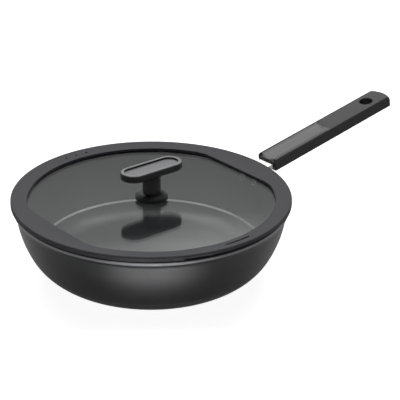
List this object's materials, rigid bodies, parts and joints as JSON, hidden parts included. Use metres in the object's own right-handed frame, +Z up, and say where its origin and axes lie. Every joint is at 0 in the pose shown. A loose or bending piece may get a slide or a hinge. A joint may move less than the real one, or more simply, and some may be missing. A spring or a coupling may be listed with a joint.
{
  "type": "saute pan with lid",
  "caption": "Round saute pan with curved non-stick walls, a long riveted handle with a hanging hole, and a glass lid in a silicone rim with a T-shaped knob, pouring slot and straining holes",
  "frame": {"origin": "centre of the pan's base, on the plane that it stands on", "axes": "+Z is up along the pan's axis, +X runs out along the handle, -Y is the lid's pouring slot"},
  "size_m": [0.4609, 0.272, 0.1112],
  "materials": {
    "pan_coating": "satin non-stick coating, near black",
    "disc_steel": "brushed",
    "bracket_steel": "brushed",
    "rivet_steel": "smooth",
    "handle_plastic": "fine matte, dark grey",
    "panel_plastic": "smooth satin, grey",
    "screw_steel": "smooth",
    "rim_silicone": "matte silicone, slate grey",
    "lid_glass": "clear, polished",
    "knob_plastic": "fine matte, near black",
    "inlay_grey": "satin, light grey",
    "collar_plastic": "satin, near black",
    "seal_rubber": "matte",
    "washer_steel": "smooth",
    "insert_brass": "turned"
  },
  "bodies": {
    "pan": {"pan_body": "pan_coating", "induction_disc": "disc_steel", "handle_bracket": "bracket_steel", "bracket_rivets": "rivet_steel", "handle_shell": "handle_plastic", "handle_panel": "panel_plastic", "handle_screw": "screw_steel"},
    "lid_carrier": {"knob_washer": "washer_steel"},
    "lid": {"lid_rim": "rim_silicone", "lid_glass": "lid_glass", "knob_grip": "knob_plastic", "knob_inlay": "inlay_grey", "knob_base": "collar_plastic", "knob_upper_seal": "seal_rubber", "knob_lower_seal": "seal_rubber", "knob_screw": "screw_steel", "knob_insert": "insert_brass"}
  },
  "joints": [
    {"name": "lid_lift", "type": "slide", "parent": "pan", "child": "lid_carrier", "axis": [0, 0, 1], "range_m": [0, 0.15]},
    {"name": "lid_turn", "type": "hinge", "parent": "lid_carrier", "child": "lid", "pos_m": [0, 0, 0.07], "axis": [0, 0, 1], "continuous": true}
  ]
}
